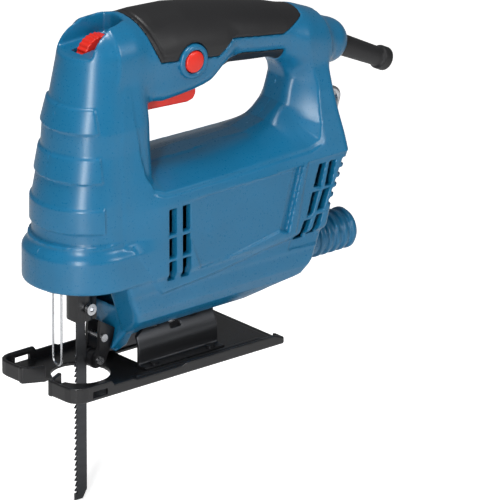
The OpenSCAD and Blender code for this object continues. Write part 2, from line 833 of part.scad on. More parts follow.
module blade_clamp() {
  color(black) difference() {
    union() {
      translate([0, 0, clamp_top - clamp_h]) cylinder(r = clamp_half, h = clamp_h, $fn = round_fn);
      block([-clamp_half, -clamp_half + 0.5, clamp_top - clamp_h], [clamp_half - 2, 0, clamp_top]);
    }
    block([-shank_w / 2 - 1, -blade_t / 2 - 0.05, clamp_top - clamp_h - 1],
          [shank_w / 2 + 1, blade_t / 2 + 0.05, blade_top + 0.1]);
    along_y(0, clamp_top - 9, -clamp_half - 1, 0, 1.5);
  }
}

module clamp_screw() {
  color(steel) difference() {
    union() {
      along_y(0, clamp_top - 9, -clamp_half + 0.5, -blade_t / 2 - 0.05, 1.5);
      along_y(0, clamp_top - 9, -clamp_half - 2.5, -clamp_half, screw_head_r);
    }
    along_y(0, clamp_top - 9, -clamp_half - 3, -clamp_half - 1, 1.5, 6);
  }
}

module saw_blade() {
  front = blade_back - blade_w;
  gum = front + tooth_depth;
  first = blade_tip + 5;
  count = floor((blade_top - shank_len - 8 - first) / tooth_pitch);
  color(dark_steel) side_cut(concat(
    [[-shank_w / 2, blade_top], [-shank_w / 2 - 0.9, blade_top - 4], [-shank_w / 2, blade_top - 8],
     [-shank_w / 2, blade_top - shank_len], [gum, blade_top - shank_len - 3]],
    [for (k = [count : -1 : 0]) each [[gum, first + tooth_pitch * (k + 1)], [front, first + tooth_pitch * k + 0.5]]],
    [[gum, first - 1], [gum, blade_tip], [blade_back - 3, blade_tip], [blade_back, blade_tip + 5],
     [blade_back, blade_top - shank_len], [shank_w / 2, blade_top - shank_len + 3],
     [shank_w / 2, blade_top - 8], [shank_w / 2 + 0.9, blade_top - 4], [shank_w / 2, blade_top]]
  ), -blade_t / 2, blade_t / 2);
}

// ---------------------------------------------------------------- blade guide

module roller_arm() {
  outline = [
    [guide_x - 3, guide_z - 3], [guide_x + 3.2, guide_z - 3], [guide_x + 6, guide_z + 3], [17.5, 19], [19, 25],
    [9.2, 31], [8.4, 24], [guide_x - 0.2, 16], [guide_x - 3, guide_z + 3]
  ];
  color(black) difference() {
    union() {
      for (side = [-1, 1]) side_cut(outline, min(side * cheek[0], side * cheek[1]), max(side * cheek[0], side * cheek[1]));
      block([15, -cheek[0], 17], [17, cheek[0], 26]);
    }
    along_y(guide_x, guide_z, -20, 20, pin_r);
    along_y(arm_hole[0], arm_hole[1], -20, 20, pin_r);
  }
}

module side_pin(spot) {
  along_y(spot[0], spot[1], -cheek[1], cheek[1], pin_r);
  for (side = [-1, 1]) along_y(spot[0], spot[1], side * (cheek[1] + 0.5) - 0.5, side * (cheek[1] + 0.5) + 0.5, pin_r + 0.6);
}

module arm_pin() { color(silver) side_pin(arm_hole); }
module roller_pin() { color(silver) side_pin([guide_x, guide_z]); }

module guide_roller() {
  color(black) translate([guide_x, 0, guide_z]) rotate([90, 0, 0]) rotate_extrude($fn = round_fn)
    difference() {
      translate([pin_r + shaft_gap, -guide_half]) square([guide_r - pin_r - shaft_gap + 0.5, 2 * guide_half]);
      translate([guide_r, -blade_t / 2 - 0.3]) square([2, blade_t + 0.6]);
    }
}

module guard_wire() {
  wire = 0.65;
  bend_z = 14;
  color(steel) translate([wire_x, 0, 0]) {
    for (side = [-1, 1]) translate([0, side * wire_spread, bend_z])
      cylinder(r = wire, h = wire_top - bend_z, $fn = 32);
    translate([0, 0, bend_z]) rotate([0, 90, 0]) rotate([0, 0, -90]) rotate_extrude(angle = 180, $fn = 32)
      translate([wire_spread, 0]) circle(r = wire, $fn = 32);
  }
}

// ---------------------------------------------------------------- controls

module trigger() {
  color(red) side_cut([
    [trigger_x[0] + 1, trigger_z[1]], [trigger_x[0] + 1, trigger_z[0] + 4], [trigger_x[0] + 4, trigger_z[0] + 1.5],
    [trigger_x[1] - 5, trigger_z[0]], [trigger_x[1], trigger_z[0] + 3.5], [trigger_x[1], trigger_z[1]]
  ], -trigger_half, trigger_half);
}

module trigger_spring() {
  color(steel) translate([trigger_x[0] + 8, 0, trigger_z[1] + 0.1]) coil(3, 0.4, 4, switch_z - trigger_z[1] - 0.2);
}

module switch_body() {
  color(black) {
    block([trigger_x[0] + 3, -8, switch_z], [trigger_x[1] + 2, 8, switch_z + 17]);
    block([trigger_x[1] - 12, -3, switch_z - 1.5], [trigger_x[1] - 4, 3, switch_z]);
  }
}

module lock_button() {
  color(red) difference() {
    along_y(lock_pos[0], lock_pos[1], -lock_y - 1.6, -lock_inner, lock_r);
    along_y(lock_pos[0], lock_pos[1], -lock_cup, -lock_inner + 1, lock_r - 2);
  }
}

module lock_spring() {
  color(steel) translate([lock_pos[0], -lock_stop - fit_gap, lock_pos[1]]) rotate([90, 0, 0])
    coil(lock_r - 3.2, 0.35, 2, lock_spring_h);
}

module speed_dial() {
  color(red) difference() {
    along_y(dial_pos[0], dial_pos[1], -dial_half, dial_half, dial_r);
    along_y(dial_pos[0], dial_pos[1], -20, 20, 2 + shaft_gap);
    for (k = [0 : 23]) translate([dial_pos[0], 0, dial_pos[1]]) rotate([0, 15 * k, 0])
      translate([0, 0, dial_r + 0.2]) along_y(0, 0, -20, 20, 0.6, 16);
  }
}

module speed_module() {
  color(black) {
    block([dial_pos[0] + 2, -9, crown_z - 51], [dial_pos[0] + 18, 9, crown_z - 35]);
    along_y(dial_pos[0], dial_pos[1], -dial_half - 3, dial_half + 3, 2);
    for (side = [-1, 1]) translate([dial_pos[0] - 3, side * (dial_half + 2.2) - 1.2, crown_z - 36])
      cube([6, 2.4, 19]);
    block([dial_pos[0] - 3, -dial_half - 3.4, crown_z - 38], [dial_pos[0] + 3, dial_half + 3.4, crown_z - 36]);
  }
}

module boot_place() {
  translate([boot_pos[0], 0, boot_pos[1]]) rotate([0, 90 + boot_angle, 0]) children();
}

module cable_boot() {
  stem = cable_r + 2;
  color(black) boot_place() difference() {
    union() {
      cylinder(r = stem + 0.4, h = 8, $fn = round_fn);
      cylinder(r = stem, h = boot_len, $fn = round_fn);
      translate([0, 0, boot_len - 7]) cylinder(r = stem + 1, h = 7, $fn = round_fn);
    }
    translate([0, 0, -1]) cylinder(r = cable_r, h = boot_len + 2, $fn = round_fn);
  }
}

module cable_clip() {
  color(black) difference() {
    block([clip_x - 4, -8, clip_z - 6], [clip_x + 4, 8, clip_z + 4]);
    translate([0, 0, clip_z]) along_x(clip_x - 5, clip_x + 5, cable_r);
    clip_screw_places() cylinder(r = 1.2, h = 40, center = true, $fn = 24);
  }
}

module clip_screw_places() {
  for (side = [-1, 1]) translate([clip_x, side * 6, clip_z + 4]) children();
}

module clip_screws() {
  color(steel) clip_screw_places() {
    translate([0, 0, -9]) cylinder(r = 1.2, h = 9.5, $fn = 32);
    cylinder(r = 1.9, h = 1.4, $fn = 32);
  }
}

module dust_port() {
  ring_start = rear_x + 1;
  color(blue) translate([0, 0, port_z]) difference() {
    union() {
      along_x(port_x[0], port_x[1], port_r);
      for (k = [0 : 4]) along_x(ring_start + 5.5 * k, ring_start + 5.5 * k + 3, port_ring_r);
    }
    along_x(port_x[0] - 1, port_x[1] + 1, port_bore_r);
  }
}

module key_place() {
  translate([key_pos[0], 0, key_pos[1]]) rotate([0, key_angle, 0]) children();
}

module hex_key() {
  bend = 4;
  color(steel) key_place() {
    translate([-key_long, 0, 0]) along_x(0, key_long - bend, key_r, 6);
    translate([0, 0, -key_short]) cylinder(r = key_r, h = key_short - bend, $fn = 6);
    translate([-bend, 0, -bend]) rotate([90, 0, 0]) rotate_extrude(angle = 90, $fn = 48)
      translate([bend, 0]) circle(r = key_r * 0.93, $fn = 32);
  }
}

// ---------------------------------------------------------------- nodes

base_plate();
bevel_arch();
arch_rivets();
housing_left();
housing_right();
housing_screws();
grip_cover();
grip_pad();
clamp_bolt();
clamp_nut();
clamp_shoe();
gear_case();
upper_bush();
lower_bush();
gear_axle();
front_bearing();
rear_bearing();
stator_core();
field_coils();
brush_holders();
carbon_brushes();
brush_springs();
motor_shaft();
rotor_core();
rotor_windings();
commutator();
cooling_fan();
crank_gear();
crank_pin();
crank_roller();
plunger_rod();
scotch_yoke();
blade_clamp();
clamp_screw();
saw_blade();
roller_arm();
arm_pin();
roller_pin();
guide_roller();
guard_wire();
trigger();
trigger_spring();
switch_body();
lock_button();
lock_spring();
speed_dial();
speed_module();
cable_boot();
cable_clip();
clip_screws();
dust_port();
hex_key();
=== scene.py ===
import json
import math

import bpy
import numpy as np
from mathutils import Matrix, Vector


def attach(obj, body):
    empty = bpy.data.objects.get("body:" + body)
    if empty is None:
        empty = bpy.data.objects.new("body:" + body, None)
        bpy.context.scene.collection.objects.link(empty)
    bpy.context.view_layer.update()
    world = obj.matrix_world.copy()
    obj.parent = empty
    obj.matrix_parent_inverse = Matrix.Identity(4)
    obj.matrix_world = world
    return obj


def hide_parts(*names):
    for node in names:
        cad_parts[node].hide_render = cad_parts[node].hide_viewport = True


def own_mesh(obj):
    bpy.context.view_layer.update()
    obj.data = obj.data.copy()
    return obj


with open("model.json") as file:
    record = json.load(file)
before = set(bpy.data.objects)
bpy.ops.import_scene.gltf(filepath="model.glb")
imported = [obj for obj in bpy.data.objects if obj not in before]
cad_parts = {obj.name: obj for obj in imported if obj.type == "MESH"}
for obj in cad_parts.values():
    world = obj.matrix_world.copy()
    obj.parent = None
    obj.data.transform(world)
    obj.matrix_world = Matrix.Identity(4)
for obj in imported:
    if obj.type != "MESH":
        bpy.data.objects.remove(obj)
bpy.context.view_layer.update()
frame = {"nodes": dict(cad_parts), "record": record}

MM = 0.001
# grid steps of the shells and of the small pieces, in millimetres
STEP = 1.0
FINE = 0.55
SEAM = 0.015
SHELL_WALL = 4.8
SKIN = 2.0
BEVEL_Z = 11.5
PORT_Z = 40.5
BLADE_TIP = -71
SHARP_EDGE = math.radians(52)


# ---------------------------------------------------------------- distance fields, in millimetres

def join(a, b, k):
    """Union of two fields with a fillet of about k."""
    h = np.maximum(k - np.abs(a - b), 0) / k
    return np.minimum(a, b) - h * h * k / 4


def cut(a, b, k=0.6):
    """Field a with field b taken out of it."""
    return -join(-a, b, k)


def meet(a, b, r):
    """Where both fields are filled, with a round edge of radius r."""
    u = a + r
    v = b + r
    return np.minimum(np.maximum(u, v), 0) + np.hypot(np.maximum(u, 0), np.maximum(v, 0)) - r


def outline(points, u, v):
    """Signed distance to a closed polygon in the (u, v) plane."""
    u, v = np.broadcast_arrays(u, v)
    best = np.full(u.shape, 1e9)
    inside = np.zeros(u.shape, bool)
    for (au, av), (bu, bv) in zip(points, points[1:] + points[:1]):
        eu, ev = bu - au, bv - av
        wu, wv = u - au, v - av
        t = np.clip((wu * eu + wv * ev) / (eu * eu + ev * ev), 0, 1)
        best = np.minimum(best, (wu - t * eu) ** 2 + (wv - t * ev) ** 2)
        if ev:
            inside ^= ((av > v) != (bv > v)) & (wu < eu * wv / ev)
    return np.where(inside, -1.0, 1.0) * np.sqrt(best)


def rounded(points, times=2):
    """A closed outline with its corners cut off again and again."""
    for _ in range(times):
        cut_off = []
        for (au, av), (bu, bv) in zip(points, points[1:] + points[:1]):
            cut_off.append((0.75 * au + 0.25 * bu, 0.75 * av + 0.25 * bv))
            cut_off.append((0.25 * au + 0.75 * bu, 0.25 * av + 0.75 * bv))
        points = cut_off
    return points


def table(v, pairs):
    """A value that follows a table of (station, value) pairs."""
    stations, values = zip(*pairs)
    return np.interp(v, stations, values)


def ramp(v, start, end):
    """0 before start, 1 after end, smooth between them."""
    t = np.clip((v - start) / (end - start), 0, 1)
    return t * t * (3 - 2 * t)


def slab(flat, half, a, r):
    """A side outline given thickness, with round edges."""
    return meet(flat, a - half, r)


def bar(x, a, z, start, end):
    """A bar in the side view between two rounds, each (x, z, radius, half spread)."""
    x0, z0, r0, s0 = start
    x1, z1, r1, s1 = end
    ex, ez = x1 - x0, z1 - z0
    t = np.clip(((x - x0) * ex + (z - z0) * ez) / (ex * ex + ez * ez), 0, 1)
    side = np.maximum(a - s0 - (s1 - s0) * t, 0)
    reach = (x - x0 - t * ex) ** 2 + (z - z0 - t * ez) ** 2
    return np.sqrt(reach + side ** 2) - r0 - (r1 - r0) * t


def rod_y(x, z, spot, r):
    """A round that runs across the tool."""
    return np.hypot(x - spot[0], z - spot[1]) - r


def brick(x, y, z, low, high):
    """A block with sharp edges."""
    dx = np.maximum(low[0] - x, x - high[0])
    dy = np.maximum(low[1] - y, y - high[1])
    dz = np.maximum(low[2] - z, z - high[2])
    return np.maximum(np.maximum(dx, dy), dz)


# ---------------------------------------------------------------- meshes from fields

CORNERS = [(i, j, k) for i in (0, 1) for j in (0, 1) for k in (0, 1)]
EDGES = [
    (p, q) for p in CORNERS for q in CORNERS
    if sum(q) - sum(p) == 1 and all(b >= a for a, b in zip(p, q))
]


def net(field, low, high, step):
    """Points and quads of the surface where the field is zero."""
    axes = [np.arange(a, b + step, step) for a, b in zip(low, high)]
    x = axes[0][:, None, None]
    y = axes[1][None, :, None]
    z = axes[2][None, None, :]
    values = np.broadcast_to(field(x, y, z), [len(v) for v in axes])
    full = values < 0
    shape = [n - 1 for n in full.shape]
    count = sum(
        full[i:i + shape[0], j:j + shape[1], k:k + shape[2]].astype(np.int8) for i, j, k in CORNERS
    )
    active = (count > 0) & (count < 8)
    cell = np.argwhere(active)
    index = np.full(active.shape, -1)
    index[active] = np.arange(len(cell))
    total = np.zeros((len(cell), 3))
    hits = np.zeros(len(cell))
    for p, q in EDGES:
        fp = values[tuple((cell + p).T)]
        fq = values[tuple((cell + q).T)]
        crossing = (fp < 0) != (fq < 0)
        share = np.where(crossing, fp / np.where(crossing, fp - fq, 1), 0)
        place = np.array(p) + share[:, None] * (np.array(q) - np.array(p))
        total += place * crossing[:, None]
        hits += crossing
    points = np.array(low) + step * (cell + total / hits[:, None])
    quads = []
    for axis in range(3):
        one = [slice(None)] * 3
        two = [slice(None)] * 3
        one[axis] = slice(0, -1)
        two[axis] = slice(1, None)
        edge = full[tuple(one)] != full[tuple(two)]
        b, c = [n for n in range(3) if n != axis]
        trim = [slice(None)] * 3
        trim[b] = slice(1, -1)
        trim[c] = slice(1, -1)
        place = np.argwhere(edge[tuple(trim)])
        place[:, b] += 1
        place[:, c] += 1
        starts = full[tuple(place.T)]
        ring = []
        for db, dc in ((1, 1), (0, 1), (0, 0), (1, 0)):
            at = place.copy()
            at[:, b] -= db
            at[:, c] -= dc
            ring.append(index[tuple(at.T)])
        ring = np.array(ring).T
        turned = starts if axis != 1 else ~starts
        ring[~turned] = ring[~turned][:, ::-1]
        quads.append(ring)
    return points, np.concatenate(quads)


def settle(field, points, reach, times=3):
    """Points moved onto the field's surface, each by at most the reach."""
    start = points.copy()
    e = 0.05
    for _ in range(times):
        x, y, z = points.T
        here = field(x, y, z)
        slope = np.stack([
            field(x + e, y, z) - here,
            field(x, y + e, z) - here,
            field(x, y, z + e) - here,
        ], 1) / e
        size = np.maximum((slope ** 2).sum(1), 0.05)
        points = points - slope * (here / size)[:, None]
        move = points - start
        length = np.linalg.norm(move, axis=1)
        points = start + move * np.minimum(1, reach / np.maximum(length, 1e-9))[:, None]
    return points


def new_mesh(name, points, faces, look, body):
    """A smooth piece in metres that rides on a body."""
    mesh = bpy.data.meshes.new(name)
    mesh.from_pydata([], [], [])
    mesh.vertices.add(len(points))
    mesh.vertices.foreach_set("co", (np.asarray(points) * MM).astype(np.float32).ravel())
    faces = np.asarray(faces)
    mesh.loops.add(faces.size)
    mesh.loops.foreach_set("vertex_index", faces.ravel().astype(np.int32))
    mesh.polygons.add(len(faces))
    mesh.polygons.foreach_set("loop_start", np.arange(0, faces.size, faces.shape[1]).astype(np.int32))
    mesh.update(calc_edges=True)
    mesh.validate()
    mesh.polygons.foreach_set("use_smooth", [True] * len(mesh.polygons))
    mesh.set_sharp_from_angle(angle=SHARP_EDGE)
    mesh.materials.append(look)
    piece = bpy.data.objects.new(name, mesh)
    bpy.context.scene.collection.objects.link(piece)
    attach(piece, body)
    return piece


def field_piece(name, field, low, high, step, look, body, slot, *nodes, side=0):
    """A piece made from a field, standing for CAD nodes."""
    points, quads = net(field, low, high, step)
    points = settle(field, points, step * 0.7)
    if side:
        points = seam_line(points, side, step)
    piece = new_mesh(name, points, quads, look, body)
    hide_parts(*nodes)
    return piece


# ---------------------------------------------------------------- housing

# outlines in the side view, as (x, z)
BODY_SIDE = [
    (5, 80), (5, 130), (8, 158), (12, 170), (40, 172), (140, 172), (158, 166), (161, 150),
    (162, 120), (161.5, 100), (149.6, 74), (145, 58), (138, 42), (132, 34), (112, 29), (98, 22.6), (20, 22),
    (8, 57), (5, 57),
]
CREASE = [
    (14, 210), (16.6, 148), (18, 141), (18.7, 129), (20.5, 118), (25.5, 109.8), (33, 107.2), (45, 107),
    (135, 107.5), (143, 109.5), (147, 117), (150.5, 136), (146, 163), (146, 210),
]
HOLLOW = [(33, 210), (33, 118), (37, 114.6), (110, 115.6), (124, 119), (134, 127), (138, 140), (138, 210)]
HOLE = [
    (33, 156), (33, 118), (37, 114.6), (110, 115.6), (124, 119), (134, 127), (138, 140), (138, 151),
    (134, 156), (96, 160), (86, 154), (76, 152),
]
LOWER = [(10.8, 80.5), (31.5, 49.5), (72.7, 54), (128, 61), (146, 60), (150, 0), (-60, 0), (-60, 80.5)]
LABEL = [(40, 99), (123, 99), (112.6, 66), (71, 59), (56, 58)]
LABEL_END = [(122.5, 99.5), (128.5, 99.5), (117.5, 63), (112, 65.5)]
VENT_PANEL = [(132, 100.2), (170, 100.2), (160, 50), (120, 52)]

# half widths of the housing against height
NOSE_HALF = [(57, 33.3), (76, 33.3), (83, 30), (106, 29), (132, 26.7), (145, 26.2), (160, 24), (172, 22.5)]
FRONT_HALF = [
    (57, 33.3), (60, 35), (84, 35), (100, 35), (115, 33), (130, 30), (150, 25.5), (165, 22), (172, 20),
]
REAR_HALF = [
    (57, 33), (62, 34.6), (100, 34), (110, 30), (120, 25), (133, 20.5), (147, 17), (165, 14), (172, 12),
]
BELLY_HALF = [(20, 8), (22, 12), (26, 19), (30, 24), (34, 28), (40, 30.5), (50, 32.3), (57, 33.2)]


def side_half(x, z, detail):
    """Half the width of the housing at a point of the side view. Detail 1 puts the panel features in it."""
    front = table(z, FRONT_HALF)
    rear = table(z, REAR_HALF)
    share = ramp(x, 60, 130)
    upper = front + (rear - front) * share
    nose = table(z, NOSE_HALF)
    upper = nose + (upper - nose) * ramp(x, 2, 34)
    belly = table(z, BELLY_HALF)
    half = np.where(z < 57, np.minimum(belly + 2 * ramp(z, 48, 56), upper), upper)
    # the front of the belly and the collar lie lower than the side panel
    lower = outline(LOWER, x, z)
    half = half - 1.9 * detail * ramp(-lower, -0.2, 2.4) * ramp(z, 40, 52)
    # ledge along the shoulder
    crease = outline(CREASE, x, z)
    half = half - 0.9 * detail * ramp(-crease, -2.9, -2.2) * ramp(x, 20, 30) * (1 - ramp(x, 138, 148))
    # recessed label field and its deep slanted end
    label = outline(LABEL, x, z)
    half = half - 1.0 * detail * ramp(-label, -0.3, 0.5) * ramp(x, 40, 62)
    end = outline(LABEL_END, x, z)
    along = ramp(x - (z - 66) * 0.32, 111, 117.5)
    half = half - (1.0 + 1.6 * along) * detail * ramp(-end, -0.2, 0.5)
    # field round the rear slots
    vents = outline(VENT_PANEL, x, z)
    half = half - 0.8 * detail * ramp(-vents, -0.3, 0.4)
    # slope from the crease to the edge of the hand opening
    hollow = outline(HOLLOW, x, z)
    inside = np.maximum(-crease, 0)
    share = inside / (inside + np.maximum(hollow, 0.01))
    return np.where(crease < 0, half + (9 - half) * share, half)


def steepness(x, z, detail):
    """How steeply the half width changes, to turn it into a distance."""
    e = 0.3
    here = side_half(x, z, detail)
    along_x = (side_half(x + e, z, detail) - here) / e
    along_z = (side_half(x, z + e, detail) - here) / e
    return np.sqrt(1 + along_x ** 2 + along_z ** 2)


NOSE_CENTRE = [(60, 5), (84, 5), (106, 4), (132, 7), (145, 7.5), (160, 9.5), (180, 11), (200, 13)]
NOSE_RADIUS = [
    (60, 30), (84, 30), (106, 29), (132, 26.7), (145, 26.2), (160, 24), (180, 21.5), (200, 20),
]
NOSE_BANDS = [(146, 159.5), (119, 132.5), (91, 105)]
CROWN_Z = 200.5


def barrel(x, a, z, detail):
    """The round nose with its raised bands, and the head above it."""
    centre = table(z, NOSE_CENTRE)
    radius = table(z, NOSE_RADIUS)
    band = 0
    for bottom, top in NOSE_BANDS:
        band = band + ramp(z, bottom - 0.4, bottom + 0.4) * (1 - ramp(z, top - 0.6, top + 0.8))
    radius = radius + 1.3 * detail * band * (1 - ramp(x, -6.5, -4.5))
    flat = np.where(x < centre, np.hypot(x - centre, a) - radius, a - radius)
    body = meet(meet(flat, x - 33, 12), z - CROWN_Z, 17)
    return np.maximum(body, 62 - z)


def skirt(x, a, z):
    """The collar round the plunger, flared out from the nose."""
    radius = 33.3 - 3.3 * ramp(z, 75.5, 82)
    ring = np.where(x < 2.4, np.hypot(x - 2.4, a) - radius, a - radius)
    body = np.maximum(ring, x - 24)
    return np.maximum(meet(body, 57.5 - z, 2), z - 84)


GRIP_TOP = [(10, 201), (40, 201.2), (62, 199.6), (85, 195.3), (108, 190), (130, 184), (150, 177), (172, 167)]
GRIP_LOW = [(10, 160), (60, 160), (98, 159.5), (112, 157), (130, 154.6), (142, 151), (160, 145), (172, 142)]
GRIP_HALF = [(10, 21), (30, 21), (53, 20.6), (80, 19.6), (110, 19), (140, 17), (155, 15.5), (172, 13.5)]


def upper_grip(x, a, z):
    """The handle from the head to the cable end: an oval section that follows the side view."""
    top = table(x, GRIP_TOP)
    low = table(x, GRIP_LOW)
    wide = table(x, GRIP_HALF)
    high = (top - low) / 2
    round_off = np.hypot(a / wide, (z - (top + low) / 2) / high)
    body = (round_off - 1) * np.minimum(wide, high)
    return np.maximum(np.maximum(body, 12 - x), x - 160)


def cable_end(x, a, z):
    """The round stub that the cable leaves from."""
    return bar(x, a, z, (146, 160, 14.5, 3), (170.5, 152.3, 12.6, 0.6))


TRIGGER_BLOCK = rounded([(26, 150), (74, 152.5), (84, 159), (94, 170), (90, 184), (26, 190)])


def trigger_block(x, a, z):
    """The thicker part of the handle over the trigger."""
    flat = outline(TRIGGER_BLOCK, x, z)
    return slab(flat, 20.5, a, 8)


LEG_SIDE = [
    (13, 60), (15.2, 44), (19.5, 33), (19.5, 25), (14.5, 14), (19, 10.5), (27, 14), (31, 22), (40, 28),
    (44, 60),
]
LEG_HALF = [(10, 6.5), (14, 8), (25, 14.5), (33, 20), (44, 27), (57, 32)]


def leg(x, a, z):
    """The front end of the belly, which comes down behind the blade."""
    return slab(outline(LEG_SIDE, x, z), table(z, LEG_HALF), a, 1.5)


def neck(x, a, z):
    """The round swelling that the dust port comes out of."""
    tube = np.hypot(a, z - 41.5) - 13.2
    return np.maximum(np.maximum(tube, 118 - x), x - 152)


def outer(x, y, z, detail=1):
    """The whole housing from outside, before anything is cut from it. Detail 0 leaves it plain."""
    a = np.abs(y)
    flat = outline(BODY_SIDE, x, z)
    sides = (a - side_half(x, z, detail)) / steepness(x, z, detail)
    hole = outline(HOLE, x, z)
    body = meet(meet(flat, sides, 3), -hole, 3)
    body = join(body, barrel(x, a, z, detail), 1.5)
    body = join(body, skirt(x, a, z), 1)
    body = join(body, leg(x, a, z), 1)
    body = join(body, neck(x, a, z), 5)
    top = join(upper_grip(x, a, z), trigger_block(x, a, z), 6)
    return join(join(body, top, 6), cable_end(x, a, z), 8)


COVER = [
    (24, 215), (31, 196), (36, 182), (39, 176), (52, 174), (70, 171.5), (80, 170), (90, 177.5),
    (128, 170.5), (145, 175.5), (152, 190), (152, 215),
]
PAD = [(88, 161), (100, 165.6), (131, 160), (133, 140), (88, 140)]
BUTTON = (61, 172)
BOOT_ROOT = (177, 149.6)
BOOT_TILT = math.radians(27)
KEY_ROOT = (182, 121)
KEY_TILT = math.radians(18)
SCREWS = [(31, 187), (104, 173), (155, 148), (58, 96), (126, 96), (114, 33), (34, 39)]
FRONT_SLOTS = [(33.5, 38.5), (43, 48.5)]
FRONT_SLOT_Z = [(82.5, 97), (69, 80.5), (56, 67)]
REAR_SLOTS = [
    [(136, 85), (140, 97), (145, 97), (141, 84)], [(131, 69), (135, 82), (140, 82), (135.5, 70)],
    [(124, 57), (129, 67), (134, 67), (130, 57)], [(144, 84), (147.3, 97), (152, 97), (148.5, 83)],
    [(138, 71), (142.7, 82), (147.6, 82), (143, 71)], [(133, 58), (137.7, 68.5), (142.4, 68.5), (138, 58)],
]


def skin_area(x, z):
    """Distance to the areas that rubber covers, in the side view."""
    return np.minimum(outline(COVER, x, z), outline(PAD, x, z))


def along_boot(x, y, z):
    """Distance along the cable boot and away from its axis."""
    u, w = x - BOOT_ROOT[0], z - BOOT_ROOT[1]
    along = u * math.cos(BOOT_TILT) - w * math.sin(BOOT_TILT)
    across = u * math.sin(BOOT_TILT) + w * math.cos(BOOT_TILT)
    return along, np.hypot(across, y)


def along_key(x, z):
    """The key's own axes in the side view."""
    u, w = x - KEY_ROOT[0], z - KEY_ROOT[1]
    return (
        u * math.cos(KEY_TILT) - w * math.sin(KEY_TILT),
        u * math.sin(KEY_TILT) + w * math.cos(KEY_TILT),
    )


BAY_PLAN = [(-40, 17), (-6, 14.5), (8, 11.5), (19, 9.6), (23.5, 8), (25.5, 4.5), (25.5, -9), (-40, -9)]
BAY_FLOOR = [(-12, 185), (26, 189.5)]


def dial_bay(x, y, z):
    """The scoop in the top of the head that the speed dial stands in."""
    return meet(outline(BAY_PLAN, x, np.abs(y)), table(x, BAY_FLOOR) - z, 1.5)


def openings(x, y, z):
    """Everything that is cut right through the shells."""
    a = np.abs(y)
    gone = brick(x, a, z, (-11, -1, 26), (19.5, 12, 68))
    gone = np.minimum(gone, brick(x, a, z, (-40, -1, 0), (19.5, 7.4, 57.8)))
    gone = np.minimum(gone, brick(x, a, z, (36.6, -1, 139), (75.4, 8.6, 163)))
    gone = np.minimum(gone, np.maximum(rod_y(x, z, BUTTON, 6.5), y + 1))
    along, away = along_boot(x, y, z)
    gone = np.minimum(gone, np.maximum(away - 6.6, -along - 3))
    gone = np.minimum(gone, np.maximum(np.hypot(a, z - PORT_Z) - 10.3, 137 - x))
    key_x, key_z = along_key(x, z)
    gone = np.minimum(gone, np.maximum(np.hypot(key_z, a) - 2.2, np.abs(key_x + 8) - 28))
    gone = np.minimum(gone, np.maximum(np.hypot(a, z - BEVEL_Z) - 15.6, np.maximum(26 - x, x - 86)))
    slots = 99.0
    for left, right in FRONT_SLOTS:
        for low, high in FRONT_SLOT_Z:
            across = np.maximum(left - x, x - right)
            up = np.maximum(low - z, z - high)
            slots = np.minimum(slots, np.maximum(across, up))
    for corners in REAR_SLOTS:
        slots = np.minimum(slots, outline(corners, x, z))
    gone = np.minimum(gone, np.maximum(slots, 24 - a))
    heads = 99.0
    for spot in SCREWS:
        heads = np.minimum(heads, rod_y(x, z, spot, 3.9))
    return np.minimum(gone, np.maximum(heads, 11.5 - y))


def fins(x, z):
    """Cooling slots cut across the rear corner."""
    rear = table(z, [(58, 145), (74, 149.6), (100, 161.5)])
    wave = np.abs((z - 74.5) / 5.2 - np.round((z - 74.5) / 5.2)) * 5.2
    return np.maximum(np.maximum(1.0 - (2.6 - wave), rear - 3.4 - x), np.maximum(72 - z, z - 98.5))


def housing(x, y, z):
    """Both shells together: walls with the seats for the rubber, openings and the button's collar."""
    a = np.abs(y)
    out = outer(x, y, z)
    plain = outer(x, y, z, 0)
    skin = skin_area(x, z)
    boss = meet(rod_y(x, z, BUTTON, 9.6), np.maximum(-23.4 - y, y + 12), 1.2)
    bay = dial_bay(x, y, z)
    solid = np.maximum(out, np.minimum(0.15 - skin, out + 2.1))
    solid = np.minimum(solid, boss)
    solid = np.maximum(solid, -fins(x, z))
    solid = cut(solid, bay, 1.2)
    core = np.maximum(plain + SHELL_WALL, 3 - bay)
    core = np.maximum(core, 3 - fins(x, z))
    wall = np.maximum(solid, -core)
    wall = np.maximum(wall, -brick(x, a, z, (-2, -9, 168), (25, 4.8, 206)))
    return cut(wall, openings(x, y, z), 0.8)


def left_shell(x, y, z):
    """The half of the housing at negative y."""
    return np.maximum(housing(x, y, z), y + SEAM)


def right_shell(x, y, z):
    """The half of the housing at positive y."""
    return np.maximum(housing(x, y, z), SEAM - y)


def seam_line(points, side, step):
    """Moves the points along the joint of the shells onto the joint itself, for a clean line."""
    flat = -SEAM * side
    x, y, z = points.T.copy()
    near = np.abs(y - flat) < 0.55 * step
    x, z = x[near], z[near]
    here = housing(x, flat, z)
    edge = np.abs(here) < 0.8 * step
    x, z, here = x[edge], z[edge], here[edge]
    e = 0.05
    for _ in range(3):
        dx = (housing(x + e, flat, z) - here) / e
        dz = (housing(x, flat, z + e) - here) / e
        size = np.maximum(dx ** 2 + dz ** 2, 0.2)
        x = x - dx * here / size
        z = z - dz * here / size
        here = housing(x, flat, z)
    spots = np.flatnonzero(near)[edge]
    moved = np.stack([x, np.full(x.shape, flat), z], 1)
    close = np.linalg.norm(moved - points[spots], axis=1) < step
    points[spots[close]] = moved[close]
    return points


def cover(x, y, z):
    """The rubber over the handle, with a raised seam at its front edge."""
    out = outer(x, y, z)
    zone = outline(COVER, x, z)
    edge = np.maximum(zone, -rod_y(x, z, BUTTON, 10.0))
    out = out + 0.55 * ramp(0.9 - np.abs(edge + 3.2), 0, 0.6) * (1 - ramp(x, 38, 50))
    return meet(np.maximum(out, -out - SKIN), edge + 0.1, 0.7)


def pad(x, y, z):
    """The rubber under the handle, where the fingers close."""
    out = outer(x, y, z)
    return meet(np.maximum(out, -out - SKIN), outline(PAD, x, z) + 0.1, 0.7)


